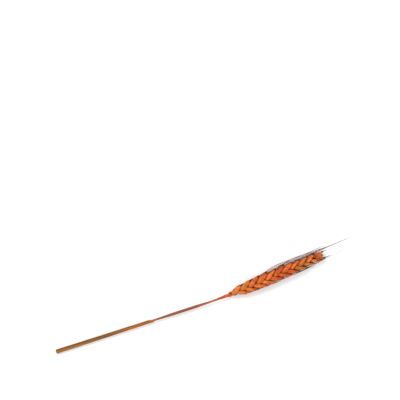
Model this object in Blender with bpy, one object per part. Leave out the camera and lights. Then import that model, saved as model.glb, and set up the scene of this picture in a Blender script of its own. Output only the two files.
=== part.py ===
"""A dried, bearded rye ear lying on a surface, with its straw stalk and the leaf sheath rolled round it.

Lengths are in metres and Z is up. X runs along the stalk, from its cut end towards the ear. The ear's two
ranks of spikelets lie to the left and to the right of its middle line, so each shows a herringbone of scales
from above and from below. The ear rests on the bellies of its lower scales and the stalk on its cut end.
"""

import math

import bmesh
import bpy
import numpy as np

MM = 0.001
SEED = 23
AWN_SEED = 140

# Middle line: the stalk rises a little to the ear, and bends gently to the left just below it.
STALK_LENGTH = 176 * MM
CUT_HEIGHT = 1.96 * MM
EAR_HEIGHT = 5.10 * MM
LEVEL_SPAN = 60 * MM
BEND = math.tan(math.radians(5.2))
BEND_START = 140 * MM
BEND_SPAN = 55 * MM
RISE = (EAR_HEIGHT - CUT_HEIGHT) / (STALK_LENGTH + LEVEL_SPAN / 2)

# Ear: the spikelets stand on the nodes of the rachis, left and right in turn, and one closes the tip.
SPIKELETS = 21
FIRST_NODE = 3.0 * MM
NODE_PITCH = 4.28 * MM
FOOT_SIZE = 0.84
TIP_SIZE = 0.68
FOOT_CLOSER = 0.30
FOOT_SHARE = 0.16
LAST_SIZE = 1.18
LAST_PITCH = 3.0 * MM
LAST_SPREAD = math.radians(5)
CORE_SIDES = 8
CORE_WIDTH = 2.3 * MM
CORE_DEPTH = 3.1 * MM
NECK_RADIUS = 1.55 * MM

# Scales, in ring points round the section and rings along the length.
SECTION_ANGLES = np.radians([0, 62, 118, 242, 298])
OUTER_RINGS = np.array([0.12, 0.38, 0.68, 0.90])
MIDDLE_RINGS = np.array([0.18, 0.48, 0.82])

# Awns: three-sided bristles, thinning towards their tips.
AWN_ROOT_RADIUS = 0.36 * MM
AWN_TIP_RADIUS = 0.15 * MM
AWN_LONGEST = 66 * MM
AWN_SHORTEST = 22 * MM
STUB_LONGEST = 4.6 * MM
STUB_SHORTEST = 1.6 * MM
WHOLE_OWN_WAY = 0.05
STUB_OWN_WAY = 0.40
WHOLE_LEFT = 0.78
WHOLE_RIGHT = 0.30
BROKEN_FROM_LEFT = 0.86
BROKEN_FROM_RIGHT = 0.50
BROKEN_SPAN = 0.14
AWN_FLOOR = 0.7 * MM
AWN_FLOOR_BLEND = 1.2 * MM

# Stalk: a hollow straw, full halfway up its bare length and thickened into a collar under the ear.
STALK_SIDES = 10
STALK_WALL = 0.42 * MM
CUT_RADIUS = 1.25 * MM
MOUTH_RADIUS = 0.98 * MM
BARE_RADIUS = 1.40 * MM
WAIST_RADIUS = 1.00 * MM
TOP_RADIUS = 1.50 * MM
STALK_RINGS = 23
HOLLOW_END = 166 * MM
NODE_GAP = 0.3 * MM

# Leaf sheath: an open roll round the lower stalk, with a slanting mouth.
SHEATH_LENGTH = 100 * MM
SHEATH_CUT_RADIUS = 2.08 * MM
SHEATH_MOUTH_RADIUS = 1.64 * MM
SHEATH_WALL = 0.45 * MM
SHEATH_SEAM = math.radians(18)
SHEATH_SEAM_TURN = math.radians(-62)
SHEATH_SIDES = 14
SHEATH_RINGS = 9
MOUTH_SLANT = 5.0 * MM

# Places along the stalk, from its cut end, and its outer radius there.
STALK_PROFILE = [
    (0.0, CUT_RADIUS),
    (SHEATH_LENGTH, MOUTH_RADIUS),
    (122 * MM, BARE_RADIUS),
    (140 * MM, BARE_RADIUS),
    (161 * MM, WAIST_RADIUS),
    (STALK_LENGTH, TOP_RADIUS),
]


class ScaleKind:
    """One kind of scale in a spikelet: where it starts, how it leans and how large it is.

    The start and the facing are given along the ear, outwards to the spikelet's side, and outwards from the
    middle of the spikelet's fan.
    """

    def __init__(self, start, lean, splay, facing, length, width, outer, inner, bow, rings, awned):
        self.start = np.array(start) * MM
        self.lean = math.radians(lean)
        self.splay = math.radians(splay)
        self.facing = np.array(facing, float)
        self.length = length * MM
        self.width = width * MM
        self.outer = outer * MM
        self.inner = inner * MM
        self.bow = bow * MM
        self.rings = rings
        self.awned = awned


GLUME = ScaleKind(
    start=(0.0, -0.5, 2.3), lean=24, splay=9, facing=(0.0, 0.38, 1.0),
    length=12.5, width=5.0, outer=1.5, inner=0.9, bow=0.6, rings=OUTER_RINGS, awned=False,
)
LEMMA = ScaleKind(
    start=(3.0, 0.8, 1.7), lean=25, splay=8, facing=(0.0, 0.80, 0.9),
    length=12.6, width=5.0, outer=1.4, inner=1.2, bow=0.5, rings=OUTER_RINGS, awned=True,
)
MIDDLE = ScaleKind(
    start=(2.8, 1.3, 0.0), lean=25, splay=0, facing=(0.0, 1.0, 0.0),
    length=11.0, width=5.0, outer=1.3, inner=1.3, bow=0.4, rings=MIDDLE_RINGS, awned=False,
)


def unit(vector):
    """The vectors along the last axis, each made one long."""
    return vector / np.linalg.norm(vector, axis=-1, keepdims=True)


def eased_ramp(share):
    """Nought before 0, a straight line of slope one after 1, and the integral of a smooth step between."""
    inside = np.clip(share, 0, 1)
    return inside**3 - inside**4 / 2 + np.maximum(share - 1, 0)


def smooth_step(share):
    """An even rise from 0 to 1 that starts and ends level."""
    inside = np.clip(share, 0, 1)
    return inside * inside * (3 - 2 * inside)


def axis_point(x):
    """The middle line's point at the distance x from the cut end."""
    x = np.asarray(x, float)
    y = BEND * BEND_SPAN * eased_ramp((x - BEND_START) / BEND_SPAN)
    z = CUT_HEIGHT + RISE * (x - LEVEL_SPAN * eased_ramp((x - STALK_LENGTH) / LEVEL_SPAN))
    return np.stack([x, y, z], axis=-1)


def axis_frame(x):
    """The middle line's direction at x, the level direction to its left, and the one that points up."""
    step = 0.1 * MM
    along = unit(axis_point(x + step) - axis_point(x - step))
    left = unit(np.cross([0.0, 0.0, 1.0], along))
    return along, left, np.cross(along, left)


def node_place(index):
    """The distance from the cut end to a spikelet's node. The nodes are even, but the last one is closer."""
    place = STALK_LENGTH + FIRST_NODE + index * NODE_PITCH
    return place - (NODE_PITCH - LAST_PITCH if index == SPIKELETS - 1 else 0)


def spikelet_size(share):
    """How large a spikelet is against the largest, by its share of the way from foot to tip of the ear."""
    foot = FOOT_SIZE + (1 - FOOT_SIZE) * smooth_step((share + 0.08) / 0.30)
    tip = 1 - (1 - TIP_SIZE) * smooth_step((share - 0.50) / 0.55)
    return foot * tip


def lean_factor(share):
    """How far the scales lean out against their kind's lean: less at the ear's foot and towards its tip."""
    return 1.06 - 0.24 * share - FOOT_CLOSER * (1 - smooth_step(share / FOOT_SHARE))


def lofted(name, rings):
    """A closed solid through rings of points. A ring of one point is a tip; a wider end gets a flat cap."""
    shape = bmesh.new()
    rows = [[shape.verts.new(point) for point in ring] for ring in rings]
    for row, following in zip(rows, rows[1:]):
        count = max(len(row), len(following))
        for i in range(count):
            j = (i + 1) % count
            if len(row) == 1:
                corners = (row[0], following[j], following[i])
            elif len(following) == 1:
                corners = (row[i], row[j], following[0])
            else:
                corners = (row[i], row[j], following[j], following[i])
            shape.faces.new(corners)
    for row in (rows[0], rows[-1]):
        if len(row) > 1:
            shape.faces.new(row)
    bmesh.ops.recalc_face_normals(shape, faces=shape.faces)
    bmesh.ops.triangulate(shape, faces=shape.faces)
    mesh = bpy.data.meshes.new(name)
    shape.to_mesh(mesh)
    shape.free()
    return bpy.data.objects.new(name, mesh)


def plain_material(name, colour, roughness):
    """A plain straw-like surface of one colour."""
    material = bpy.data.materials.new(name)
    material.use_nodes = True
    shader = material.node_tree.nodes["Principled BSDF"]
    shader.inputs["Base Color"].default_value = (*colour, 1.0)
    shader.inputs["Roughness"].default_value = roughness
    shader.inputs["Metallic"].default_value = 0.0
    return material


def scale_shape(name, start, along, facing, kind, size):
    """A boat-shaped scale: keeled on its outer side, flatter inside, widest below its middle, pointed."""
    outward = unit(facing - np.dot(facing, along) * along)
    across = np.cross(along, outward)
    fullness = np.sin(math.pi * kind.rings**0.78) ** 0.8
    half_width = kind.width * size / 2 * fullness
    middle = start + np.outer(kind.length * size * kind.rings, along)
    middle += np.outer(kind.bow * size * 4 * kind.rings * (1 - kind.rings), outward)
    rings = [[start]]
    for centre, wide, full in zip(middle, half_width, fullness):
        ring = []
        for angle in SECTION_ANGLES:
            height = (kind.outer if math.cos(angle) > 0 else kind.inner) * size * full * math.cos(angle)
            ring.append(centre + across * math.sin(angle) * wide + outward * height)
        rings.append(ring)
    rings.append([start + along * kind.length * size])
    return lofted(name, rings)


def raised(points):
    """The points, with those near the ground lifted clear of it by a smooth maximum."""
    above = points[:, 2] - AWN_FLOOR
    lifted = points.copy()
    lifted[:, 2] = AWN_FLOOR + (above + np.sqrt(above**2 + AWN_FLOOR_BLEND**2)) / 2
    return lifted


def awn_path(root, along, ear_along, length, curl, rings):
    """A bristle's middle line: it leaves along its scale, and a whole one soon swings along the ear."""
    share = np.linspace(0, 1, rings)[:, None]
    own = WHOLE_OWN_WAY if length > 2 * STUB_LONGEST else STUB_OWN_WAY
    heading = unit(along * own + ear_along * (1 - own) + curl)
    straight = root + heading * length * share
    swing = (along - heading) * length * share * (1 - share) ** 4
    return raised(straight + swing)


def awn_shape(name, path, root_radius, tip_radius):
    """A three-sided needle along a path, flat at its broken or pointed end."""
    along = unit(np.gradient(path, axis=0))
    side = unit(np.cross(along, [0.0, 0.0, 1.0]))
    up = np.cross(side, along)
    radii = np.linspace(root_radius, tip_radius, len(path))
    rings = []
    for centre, across, above, radius in zip(path, side, up, radii):
        turns = np.radians([90, 210, 330])
        rings.append([centre + radius * (math.cos(a) * across + math.sin(a) * above) for a in turns])
    return lofted(name, rings)


def spikelet_scales():
    """The scales of one spikelet: each kind with the side of the fan that it stands on."""
    return [(MIDDLE, 0), (LEMMA, 1), (LEMMA, -1), (GLUME, 1), (GLUME, -1)]


def awn_length(share, rank, whole_draw, length_draw):
    """Few awns have their full length. Most on the right, and all near the tip, are broken to stubs."""
    whole_share = WHOLE_LEFT if rank > 0 else WHOLE_RIGHT
    broken_from = BROKEN_FROM_LEFT if rank > 0 else BROKEN_FROM_RIGHT
    if whole_draw < whole_share * (1 - smooth_step((share - broken_from) / BROKEN_SPAN)):
        reach = AWN_SHORTEST + (AWN_LONGEST - AWN_SHORTEST) * length_draw**2
        return reach * (0.72 + 0.28 * smooth_step(share / 0.35))
    return STUB_SHORTEST + (STUB_LONGEST - STUB_SHORTEST) * length_draw


def ear_shapes():
    """Every scale and awn of the ear, by one rule with small seeded differences between them."""
    draws = np.random.default_rng(SEED)
    jitter = draws.uniform(-1, 1, (SPIKELETS, 5, 4))
    chances = np.random.default_rng(AWN_SEED).uniform(0, 1, (SPIKELETS, 5, 2))
    curls = draws.normal(0, 1, (SPIKELETS, 5, 3)) * [0.01, 0.022, 0.030]
    shapes = []
    for index in range(SPIKELETS):
        share = index / (SPIKELETS - 1)
        last = index == SPIKELETS - 1
        x = node_place(index)
        along, left, up = axis_frame(x)
        rank = 1 if index % 2 == 0 else -1
        outwards, fan = rank * left, up
        size = spikelet_size(share)
        if last:
            outwards, fan = up, left
            size *= LAST_SIZE
        for number, (kind, side) in enumerate(spikelet_scales()):
            lean_draw, splay_draw, length_draw, turn_draw = jitter[index, number]
            scale_size = size * (1 + 0.04 * length_draw)
            lean = kind.lean * lean_factor(share) + math.radians(2.0) * lean_draw
            splay = side * kind.splay + math.radians(1.5) * splay_draw
            start_out = kind.start[1] * size
            if last:
                lean = math.radians(3) * lean_draw
                splay = side * (kind.splay + LAST_SPREAD)
                start_out = 0.2 * MM
            direction = unit(along * math.cos(lean) + outwards * math.sin(lean) + fan * math.sin(splay))
            start = axis_point(x) + along * kind.start[0] * size + outwards * start_out
            start = start + fan * side * kind.start[2] * size * (0.7 if last else 1)
            facing_side = side if side else 0
            facing = outwards * (kind.facing[1] + 0.1 * turn_draw) + fan * facing_side * kind.facing[2]
            name = f"scale_{index}_{number}"
            shapes.append(scale_shape(name, start, direction, facing, kind, scale_size))
            if not kind.awned:
                continue
            length = awn_length(share, rank, *chances[index, number])
            root = start + direction * kind.length * scale_size * 0.84
            rings = 6 if length > STUB_LONGEST else 3
            curl = curls[index, number] if length > STUB_LONGEST else curls[index, number] * 2
            path = awn_path(root, direction, along, length + kind.length * scale_size * 0.16, curl, rings)
            tip_radius = AWN_TIP_RADIUS if length > STUB_LONGEST else AWN_ROOT_RADIUS * 0.7
            shapes.append(awn_shape(f"awn_{index}_{number}", path, AWN_ROOT_RADIUS, tip_radius))
    return shapes


def core_shape():
    """The rachis with what is packed behind the scales, as one tapering body along the middle line."""
    first = STALK_LENGTH + NODE_GAP
    last = node_place(SPIKELETS - 1) + 4.0 * MM
    neck = STALK_LENGTH + FIRST_NODE * 0.6
    stations = [first, neck] + list(np.linspace(STALK_LENGTH + FIRST_NODE + 1.5 * MM, last, 14))
    rings = []
    for x in stations:
        share = (x - STALK_LENGTH) / (last - STALK_LENGTH)
        size = spikelet_size(share) * (1 - 0.55 * smooth_step((share - 0.86) / 0.14))
        width = CORE_WIDTH * size
        depth = CORE_DEPTH * size
        if x <= neck:
            width = depth = NECK_RADIUS
        along, left, up = axis_frame(x)
        ring = []
        for step in range(CORE_SIDES):
            angle = 2 * math.pi * (step + 0.5) / CORE_SIDES
            ring.append(axis_point(x) + left * width * math.cos(angle) + up * depth * math.sin(angle))
        rings.append(ring)
    return lofted("core", rings)


def keep_outer_skin(mesh):
    """Keeps the largest of the mesh's separate shells, which fills sealed hollows and drops loose scraps."""
    shape = bmesh.new()
    shape.from_mesh(mesh)
    bmesh.ops.triangulate(shape, faces=shape.faces)
    unseen = set(shape.verts)
    shells = []
    while unseen:
        waiting = [unseen.pop()]
        shell = set(waiting)
        while waiting:
            vert = waiting.pop()
            for edge in vert.link_edges:
                other = edge.other_vert(vert)
                if other in unseen:
                    unseen.remove(other)
                    shell.add(other)
                    waiting.append(other)
        shells.append(shell)
    shells.sort(key=len)
    for shell in shells[:-1]:
        bmesh.ops.delete(shape, geom=list(shell), context="VERTS")
    shape.to_mesh(mesh)
    shape.free()


def boolean(target, operation, solver):
    """A Boolean modifier at the end of the target's list, with nothing to work on yet."""
    modifier = target.modifiers.new(operation.capitalize(), "BOOLEAN")
    modifier.operation = operation
    modifier.solver = solver
    return modifier


def flattened_and_fused(name, shapes, material):
    """One body from closed shapes that overlap, cut flat where it would reach below the ground."""
    target = shapes[0]
    bpy.context.scene.collection.objects.link(target)
    pieces = bpy.data.collections.new(name + "_pieces")
    bpy.context.scene.collection.children.link(pieces)
    for shape in shapes[1:]:
        pieces.objects.link(shape)
    if len(shapes) > 1:
        fuse = boolean(target, "UNION", "MANIFOLD")
        fuse.operand_type = "COLLECTION"
        fuse.collection = pieces
    ground_depth = 10 * MM
    reach = 0.5
    ground_ring = [(-reach, -reach), (reach, -reach), (reach, reach), (-reach, reach)]
    ground = lofted("ground", [[(x, y, z) for x, y in ground_ring] for z in (-ground_depth, 0.0)])
    ground.hide_render = True
    ground.display_type = "WIRE"
    pieces.objects.link(ground)
    if len(shapes) > 1:
        pieces.objects.unlink(ground)
        bpy.context.scene.collection.objects.link(ground)
    flatten = boolean(target, "DIFFERENCE", "MANIFOLD")
    flatten.object = ground
    graph = bpy.context.evaluated_depsgraph_get()
    mesh = bpy.data.meshes.new_from_object(target.evaluated_get(graph))
    for shape in [*shapes, ground]:
        bpy.data.objects.remove(shape)
    bpy.data.collections.remove(pieces)
    keep_outer_skin(mesh)
    mesh.name = name
    mesh.materials.clear()
    mesh.materials.append(material)
    whole = bpy.data.objects.new(name, mesh)
    bpy.context.scene.collection.objects.link(whole)
    return whole


def stalk_radius(x):
    """The straw's outer radius: it runs smoothly from each place of the profile to the next."""
    radius = STALK_PROFILE[0][1]
    for (start, low), (end, high) in zip(STALK_PROFILE, STALK_PROFILE[1:]):
        radius = radius + (high - low) * smooth_step((x - start) / (end - start))
    return radius


def circle(x, radius, sides):
    """A ring of points round the middle line at x."""
    _, left, up = axis_frame(x)
    angles = 2 * math.pi * (np.arange(sides) + 0.5) / sides
    return axis_point(x) + radius * (np.outer(np.cos(angles), left) + np.outer(np.sin(angles), up))


def make_stalk(material):
    """A straw that is open at its cut end and closed just below the ear."""
    top = STALK_LENGTH
    outside = [circle(x, stalk_radius(x), STALK_SIDES) for x in np.linspace(top, 0, STALK_RINGS)]
    hollow = np.linspace(0, HOLLOW_END, STALK_RINGS)
    inside = [circle(x, stalk_radius(x) - STALK_WALL, STALK_SIDES) for x in hollow]
    stalk = lofted("stalk", outside + inside)
    stalk.data.materials.append(material)
    bpy.context.scene.collection.objects.link(stalk)
    return stalk


def sheath_ring(x, mouth_share):
    """The open outline of the rolled sheath at x: its outer arc, then its inner arc back."""
    outer = SHEATH_CUT_RADIUS + (SHEATH_MOUTH_RADIUS - SHEATH_CUT_RADIUS) * (x / SHEATH_LENGTH)
    inner = outer - SHEATH_WALL
    half_open = SHEATH_SEAM / 2
    turns = SHEATH_SEAM_TURN + np.linspace(half_open, 2 * math.pi - half_open, SHEATH_SIDES)
    points = []
    for radius, angles in ((outer, turns), (inner, turns[::-1])):
        for angle in angles:
            lip = MOUTH_SLANT * mouth_share * (1 - math.cos(angle - SHEATH_SEAM_TURN)) / 2
            _, left, up = axis_frame(x + lip)
            point = axis_point(x + lip) + radius * (math.cos(angle) * left + math.sin(angle) * up)
            points.append(point)
    return points


def make_sheath(material):
    """The leaf sheath: a roll with a narrow open seam, cut square below and slanting at its mouth."""
    rings = []
    for share in np.linspace(0, 1, SHEATH_RINGS):
        x = (SHEATH_LENGTH - MOUTH_SLANT) * share
        rings.append(sheath_ring(x, smooth_step((share - 0.8) / 0.2)))
    return flattened_and_fused("leaf_sheath", [lofted("roll", rings)], material)


def centre_over_origin(parts):
    """Moves every part by one step, so that the origin is below the middle of the whole."""
    corners = []
    for part in parts:
        points = np.empty(len(part.data.vertices) * 3, np.float32)
        part.data.vertices.foreach_get("co", points)
        corners += [points.reshape(-1, 3).min(axis=0), points.reshape(-1, 3).max(axis=0)]
    middle = (np.min(corners, axis=0) + np.max(corners, axis=0)) / 2
    for part in parts:
        for vertex in part.data.vertices:
            vertex.co.x -= float(middle[0])
            vertex.co.y -= float(middle[1])
        part.data.update()
    print("middle of the whole before the move, in mm:", np.round(middle * 1000, 3))


def main():
    for item in list(bpy.data.objects):
        bpy.data.objects.remove(item)
    ear = flattened_and_fused(
        "ear",
        [core_shape(), *ear_shapes()],
        plain_material("dyed_scales", (0.72, 0.19, 0.04), 0.6),
    )
    stalk = make_stalk(plain_material("dyed_straw", (0.62, 0.22, 0.06), 0.45))
    sheath = make_sheath(plain_material("dyed_leaf", (0.45, 0.20, 0.05), 0.6))
    centre_over_origin([ear, stalk, sheath])
    for part in (stalk, sheath):
        part.data.shade_smooth()
        part.data.set_sharp_from_angle(angle=math.radians(40))
    for part in (ear, stalk, sheath):
        print(part.name, len(part.data.polygons), "faces")


main()
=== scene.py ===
# %% [markdown]
# # A dried rye ear, one scale at a time
# The ear was dyed orange and dried. It has a zig-zag rachis, twenty-one spikelets in two ranks, and long
# bristles, called awns. A hollow straw carries it, and the sheath of a leaf is rolled round the straw.
# The solids of the part already say where each piece lies. This lesson puts a fine surface in each place.
# Almost every piece is a formula of two parameters, worked out as whole arrays.

# %% Load the frame
import math

import bpy
import numpy as np
from mathutils import Matrix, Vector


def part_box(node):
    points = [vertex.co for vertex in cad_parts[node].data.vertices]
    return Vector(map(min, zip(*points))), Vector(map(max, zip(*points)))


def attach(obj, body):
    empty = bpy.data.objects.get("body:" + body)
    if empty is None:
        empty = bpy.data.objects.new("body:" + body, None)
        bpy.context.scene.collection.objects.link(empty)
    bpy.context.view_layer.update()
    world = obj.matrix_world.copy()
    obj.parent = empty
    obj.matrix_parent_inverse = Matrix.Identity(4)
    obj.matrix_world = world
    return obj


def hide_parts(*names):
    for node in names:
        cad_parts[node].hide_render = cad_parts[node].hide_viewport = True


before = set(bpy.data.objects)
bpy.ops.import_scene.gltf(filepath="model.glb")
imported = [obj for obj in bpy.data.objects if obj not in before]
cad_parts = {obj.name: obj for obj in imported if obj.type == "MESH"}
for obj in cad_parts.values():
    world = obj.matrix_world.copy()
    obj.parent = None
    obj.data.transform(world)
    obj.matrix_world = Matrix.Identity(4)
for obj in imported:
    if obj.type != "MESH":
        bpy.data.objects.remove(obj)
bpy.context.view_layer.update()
MM = 0.001

# %% [markdown]
# ## The middle line
# Straw and ear follow one gentle line. It starts at the cut end, rises a little, because the ear is thicker
# than the straw and both lie on the floor, and turns slightly left where the straw meets the ear. A turn
# that starts and ends smoothly is the integral of a smooth step, so the line needs no drawn curve and can
# be asked for anywhere.
# The numbers are the ones that the solids were made with, and the cut end is read from the frame.

# %% The middle line and the directions round it
STALK_LENGTH = 176 * MM
CUT_HEIGHT = 1.96 * MM
EAR_HEIGHT = 5.10 * MM
LEVEL_SPAN = 60 * MM
BEND = math.tan(math.radians(5.2))
BEND_START = 140 * MM
BEND_SPAN = 55 * MM
RISE = (EAR_HEIGHT - CUT_HEIGHT) / (STALK_LENGTH + LEVEL_SPAN / 2)
TILT_OF_CUT = 0.04 * MM
sheath_low, sheath_high = (np.array(corner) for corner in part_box("leaf_sheath"))
CUT_END = np.array([sheath_low[0] + TILT_OF_CUT, (sheath_low[1] + sheath_high[1]) / 2, 0.0])


def unit(vector):
    """The vectors along the last axis, each made one long."""
    return vector / np.linalg.norm(vector, axis=-1, keepdims=True)


def eased_ramp(share):
    """Nought before 0, a straight line of slope one after 1, and the integral of a smooth step between."""
    inside = np.clip(share, 0, 1)
    return inside**3 - inside**4 / 2 + np.maximum(share - 1, 0)


def smooth_step(share):
    """An even rise from 0 to 1 that starts and ends level."""
    inside = np.clip(share, 0, 1)
    return inside * inside * (3 - 2 * inside)


def axis_point(x):
    """The middle line's point at the distance x from the cut end."""
    x = np.asarray(x, float)
    y = BEND * BEND_SPAN * eased_ramp((x - BEND_START) / BEND_SPAN)
    z = CUT_HEIGHT + RISE * (x - LEVEL_SPAN * eased_ramp((x - STALK_LENGTH) / LEVEL_SPAN))
    return CUT_END + np.stack([x, y, z], axis=-1)


def axis_frame(x):
    """The middle line's direction at x, the level direction to its left, and the one that points up."""
    step = 0.1 * MM
    x = np.asarray(x, float)
    along = unit(axis_point(x + step) - axis_point(x - step))
    left = unit(np.cross([0.0, 0.0, 1.0], along))
    return along, left, np.cross(along, left)


print("foot of the ear at", np.round(axis_point(STALK_LENGTH), 4))

# %% [markdown]
# ## Where the scales stand
# A spikelet stands on each node of the rachis, left and right in turn. It is a small fan of five scales: a
# glume on each outer side, an awned lemma inside each glume, and a middle floret between them. From above,
# one glume and one lemma of each spikelet show, and the two ranks make a herringbone. Small seeded
# differences keep the rule from looking stamped. The draws are the ones that the solids used, so that each
# fine scale lies on its solid one.

# %% The rule of the spikelets
SEED = 23
AWN_SEED = 140
SPIKELETS = 21
FIRST_NODE = 3.0 * MM
NODE_PITCH = 4.28 * MM
FOOT_SIZE = 0.84
TIP_SIZE = 0.68
FOOT_CLOSER = 0.30
FOOT_SHARE = 0.16
LAST_SIZE = 1.18
LAST_PITCH = 3.0 * MM
LAST_SPREAD = math.radians(5)
LAST_SHARE = 0.97
LAST_START = 0.2 * MM
LAST_FAN = 0.7
LEAN_AT_FOOT = 1.06
LEAN_LOST = 0.24
LEAN_JITTER = math.radians(2.0)
LAST_LEAN_JITTER = math.radians(3)
SPLAY_JITTER = math.radians(1.5)
FACING_JITTER = 0.1
SIZE_JITTER = 0.04
CURL_SPREAD = [0.01, 0.022, 0.030]


class ScaleKind:
    """One kind of scale: where it starts, how it leans, which way it faces and how large it is."""

    def __init__(self, start, lean, splay, facing, length, width, outer, inner, bow, awned):
        self.start = np.array(start) * MM
        self.lean = math.radians(lean)
        self.splay = math.radians(splay)
        self.facing = facing
        self.length = length * MM
        self.width = width * MM
        self.outer = outer * MM
        self.inner = inner * MM
        self.bow = bow * MM
        self.awned = awned


GLUME = ScaleKind((0.0, -0.5, 2.3), 24, 9, (0.38, 1.0), 12.5, 5.0, 1.5, 0.9, 0.6, False)
LEMMA = ScaleKind((3.0, 0.8, 1.7), 25, 8, (0.80, 0.9), 12.6, 5.0, 1.4, 1.2, 0.5, True)
MIDDLE = ScaleKind((2.8, 1.3, 0.0), 25, 0, (1.0, 0.0), 11.0, 5.0, 1.3, 1.3, 0.4, False)
SPIKELET = [(MIDDLE, 0), (LEMMA, 1), (LEMMA, -1), (GLUME, 1), (GLUME, -1)]


class Scale:
    """One scale in its place: its kind, its root, its three directions and its size."""

    def __init__(self, kind, root, along, outward, size, share, rank, ear_along, draws):
        self.kind = kind
        self.root = root
        self.along = along
        self.outward = outward
        self.size = size
        self.share = share
        self.rank = rank
        self.ear_along = ear_along
        self.chances, self.curl = draws


def node_place(index):
    """The distance from the cut end to a spikelet's node. The nodes are even, but the last one is closer."""
    place = STALK_LENGTH + FIRST_NODE + index * NODE_PITCH
    return place - (NODE_PITCH - LAST_PITCH if index == SPIKELETS - 1 else 0)


def spikelet_size(share):
    """How large a spikelet is against the largest, by its share of the way from foot to tip of the ear."""
    foot = FOOT_SIZE + (1 - FOOT_SIZE) * smooth_step((share + 0.08) / 0.30)
    tip = 1 - (1 - TIP_SIZE) * smooth_step((share - 0.50) / 0.55)
    return foot * tip


def lean_factor(share):
    """How far the scales lean out against their kind's lean: less at the ear's foot and towards its tip."""
    return LEAN_AT_FOOT - LEAN_LOST * share - FOOT_CLOSER * (1 - smooth_step(share / FOOT_SHARE))


def all_scales():
    """Every scale of the ear, spikelet by spikelet, with the same seeded differences as the solids."""
    draws = np.random.default_rng(SEED)
    jitter = draws.uniform(-1, 1, (SPIKELETS, 5, 4))
    chances = np.random.default_rng(AWN_SEED).uniform(0, 1, (SPIKELETS, 5, 2))
    curls = draws.normal(0, 1, (SPIKELETS, 5, 3)) * CURL_SPREAD
    scales = []
    for index in range(SPIKELETS):
        share = index / (SPIKELETS - 1)
        last = index == SPIKELETS - 1
        x = node_place(index)
        ear_along, left, up = axis_frame(x)
        rank = 1 if index % 2 == 0 else -1
        outwards, fan = (up, left) if last else (rank * left, up)
        size = spikelet_size(share) * (LAST_SIZE if last else 1)
        for number, (kind, side) in enumerate(SPIKELET):
            lean_draw, splay_draw, length_draw, turn_draw = jitter[index, number]
            lean = kind.lean * lean_factor(share) + LEAN_JITTER * lean_draw
            splay = side * kind.splay + SPLAY_JITTER * splay_draw
            start_out = kind.start[1] * size
            if last:
                lean = LAST_LEAN_JITTER * lean_draw
                splay = side * (kind.splay + LAST_SPREAD)
                start_out = LAST_START
            along = ear_along * math.cos(lean) + outwards * math.sin(lean) + fan * math.sin(splay)
            along = unit(along)
            root = axis_point(x) + ear_along * kind.start[0] * size + outwards * start_out
            root = root + fan * side * kind.start[2] * size * (LAST_FAN if last else 1)
            facing = outwards * (kind.facing[0] + FACING_JITTER * turn_draw) + fan * side * kind.facing[1]
            outward = unit(facing - np.dot(facing, along) * along)
            own_draws = (chances[index, number], curls[index, number])
            own_size = size * (1 + SIZE_JITTER * length_draw)
            scales.append(Scale(kind, root, along, outward, own_size, share, rank, ear_along, own_draws))
    return scales


scales = all_scales()
glume_scales = [scale for scale in scales if scale.kind is GLUME]
floret_scales = [scale for scale in scales if scale.kind is not GLUME]
print(len(glume_scales), "glumes and", len(floret_scales), "florets")

# %% [markdown]
# ## Tubes into meshes
# A scale, a bristle and a straw are all closed tubes: rings of points, one after the other. One function
# turns an array of many such tubes into one mesh. Neighbouring rings are joined by quads, and each end
# closes in a fan round a pole. The same arrays give each point its attributes: `grain` is a place on the
# straightened piece, so that fibres follow its curve, `reach` runs from root to tip, `margin` is 0 at an
# edge and 1 on the keel, and `tint` is a draw of the piece's own.


# %% One mesh from many closed tubes
def tube_faces(rings, sides, end_strips):
    """The quads between rings. Each end is a fan to a pole, or a strip across where the ring is a wall."""
    ids = np.arange(rings * sides).reshape(rings, sides)
    near, far = ids[:-1], ids[1:]
    quads = np.stack([near, np.roll(near, -1, 1), np.roll(far, -1, 1), far], -1).reshape(-1, 4)
    if end_strips:
        j = np.arange(sides // 2 - 1)
        strip = np.stack([j, sides - 1 - j, sides - 2 - j, j + 1], -1)
        ends = np.concatenate([strip, ids[-1, 0] + strip[:, ::-1]])
        return np.concatenate([quads, ends]), np.zeros((0, 3), int)
    poles = rings * sides, rings * sides + 1
    first = np.stack([np.full(sides, poles[0]), np.roll(ids[0], -1), ids[0]], -1)
    last = np.stack([np.full(sides, poles[1]), ids[-1], np.roll(ids[-1], -1)], -1)
    return quads, np.concatenate([first, last])


def fill_mesh(name, points, quads, triangles):
    """A smooth mesh from arrays. All faces are turned over if the volume that they enclose is negative."""
    corners = points[np.concatenate([quads[:, [0, 1, 2]], quads[:, [0, 2, 3]], triangles])]
    volume = np.einsum("ij,ij->i", corners[:, 0], np.cross(corners[:, 1], corners[:, 2])).sum() / 6
    if volume < 0:
        quads, triangles = quads[:, ::-1], triangles[:, ::-1]
    loops = np.concatenate([quads.ravel(), triangles.ravel()]).astype(np.int32)
    sizes = np.concatenate([np.full(len(quads), 4), np.full(len(triangles), 3)])
    mesh = bpy.data.meshes.new(name)
    mesh.vertices.add(len(points))
    mesh.vertices.foreach_set("co", points.astype(np.float32).ravel())
    mesh.loops.add(len(loops))
    mesh.loops.foreach_set("vertex_index", loops)
    mesh.polygons.add(len(sizes))
    mesh.polygons.foreach_set("loop_start", (np.cumsum(sizes) - sizes).astype(np.int32))
    mesh.update(calc_edges=True)
    mesh.validate()
    mesh.shade_smooth()
    print(name, len(mesh.polygons), "faces,", round(abs(volume) * 1e9, 1), "cubic mm")
    return mesh


def linked(name, data):
    """A new object in the scene that holds the mesh, light or camera."""
    holder = bpy.data.objects.new(name, data)
    bpy.context.scene.collection.objects.link(holder)
    return holder


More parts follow.
